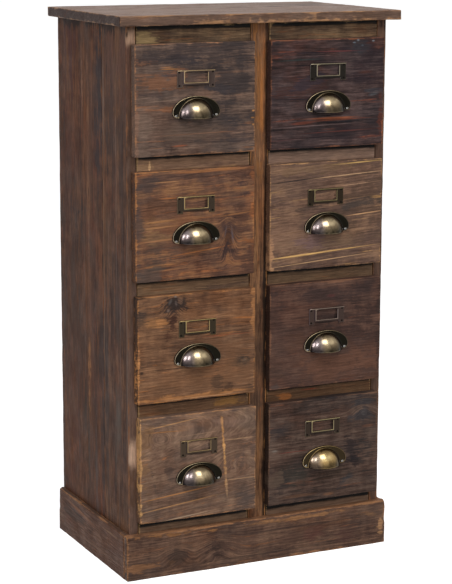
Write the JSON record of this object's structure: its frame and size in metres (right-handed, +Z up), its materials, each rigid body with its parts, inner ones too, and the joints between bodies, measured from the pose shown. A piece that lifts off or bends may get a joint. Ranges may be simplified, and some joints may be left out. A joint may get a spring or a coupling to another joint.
{
  "type": "apothecary chest",
  "caption": "Narrow floor-standing wooden chest on a plinth, with two columns of drawers, each with a brass cup pull and a label holder.",
  "frame": {"origin": "on the floor, under the middle of the whole chest's bounding box", "axes": "+Z up, -Y out of the drawer fronts, +X to the right as seen from the front"},
  "size_m": [0.495, 0.3312, 0.905],
  "materials": {
    "case_wood": "dark stained, worn and waxed",
    "front_wood": "dark stained, worn and waxed",
    "inner_wood": "bare sawn wood",
    "aged_brass": "darkened and rubbed bright on the high parts",
    "iron": "dull"
  },
  "bodies": {
    "case": {"top_board": "case_wood", "left_side_front_board": "case_wood", "left_side_rear_board": "case_wood", "right_side_front_board": "case_wood", "right_side_rear_board": "case_wood", "back_panel": "inner_wood", "bottom_board": "inner_wood", "centre_partition": "inner_wood", "centre_stile": "case_wood", "top_rails": "case_wood", "middle_rails": "case_wood", "bottom_rails": "case_wood", "drawer_runners": "inner_wood", "drawer_guides": "inner_wood", "plinth_front": "case_wood", "plinth_left": "case_wood", "plinth_right": "case_wood", "plinth_corner_blocks": "inner_wood", "top_battens": "inner_wood", "back_panel_nails": "iron"},
    "drawer_1_left": {"drawer_1_left_front": "front_wood", "drawer_1_left_box": "inner_wood", "drawer_1_left_bottom": "inner_wood", "drawer_1_left_cup_pull": "aged_brass", "drawer_1_left_label_holder": "aged_brass"},
    "drawer_1_right": {"drawer_1_right_front": "front_wood", "drawer_1_right_box": "inner_wood", "drawer_1_right_bottom": "inner_wood", "drawer_1_right_cup_pull": "aged_brass", "drawer_1_right_label_holder": "aged_brass"},
    "drawer_2_left": {"drawer_2_left_front": "front_wood", "drawer_2_left_box": "inner_wood", "drawer_2_left_bottom": "inner_wood", "drawer_2_left_cup_pull": "aged_brass", "drawer_2_left_label_holder": "aged_brass"},
    "drawer_2_right": {"drawer_2_right_front": "front_wood", "drawer_2_right_box": "inner_wood", "drawer_2_right_bottom": "inner_wood", "drawer_2_right_cup_pull": "aged_brass", "drawer_2_right_label_holder": "aged_brass"},
    "drawer_3_left": {"drawer_3_left_front": "front_wood", "drawer_3_left_box": "inner_wood", "drawer_3_left_bottom": "inner_wood", "drawer_3_left_cup_pull": "aged_brass", "drawer_3_left_label_holder": "aged_brass"},
    "drawer_3_right": {"drawer_3_right_front": "front_wood", "drawer_3_right_box": "inner_wood", "drawer_3_right_bottom": "inner_wood", "drawer_3_right_cup_pull": "aged_brass", "drawer_3_right_label_holder": "aged_brass"},
    "drawer_4_left": {"drawer_4_left_front": "front_wood", "drawer_4_left_box": "inner_wood", "drawer_4_left_bottom": "inner_wood", "drawer_4_left_cup_pull": "aged_brass", "drawer_4_left_label_holder": "aged_brass"},
    "drawer_4_right": {"drawer_4_right_front": "front_wood", "drawer_4_right_box": "inner_wood", "drawer_4_right_bottom": "inner_wood", "drawer_4_right_cup_pull": "aged_brass", "drawer_4_right_label_holder": "aged_brass"}
  },
  "joints": [
    {"name": "drawer_1_left_slide", "type": "slide", "parent": "case", "child": "drawer_1_left", "axis": [0, -1, 0], "range_m": [0, 0.19]},
    {"name": "drawer_1_right_slide", "type": "slide", "parent": "case", "child": "drawer_1_right", "axis": [0, -1, 0], "range_m": [0, 0.19]},
    {"name": "drawer_2_left_slide", "type": "slide", "parent": "case", "child": "drawer_2_left", "axis": [0, -1, 0], "range_m": [0, 0.19]},
    {"name": "drawer_2_right_slide", "type": "slide", "parent": "case", "child": "drawer_2_right", "axis": [0, -1, 0], "range_m": [0, 0.19]},
    {"name": "drawer_3_left_slide", "type": "slide", "parent": "case", "child": "drawer_3_left", "axis": [0, -1, 0], "range_m": [0, 0.19]},
    {"name": "drawer_3_right_slide", "type": "slide", "parent": "case", "child": "drawer_3_right", "axis": [0, -1, 0], "range_m": [0, 0.19]},
    {"name": "drawer_4_left_slide", "type": "slide", "parent": "case", "child": "drawer_4_left", "axis": [0, -1, 0], "range_m": [0, 0.19]},
    {"name": "drawer_4_right_slide", "type": "slide", "parent": "case", "child": "drawer_4_right", "axis": [0, -1, 0], "range_m": [0, 0.19]}
  ]
}
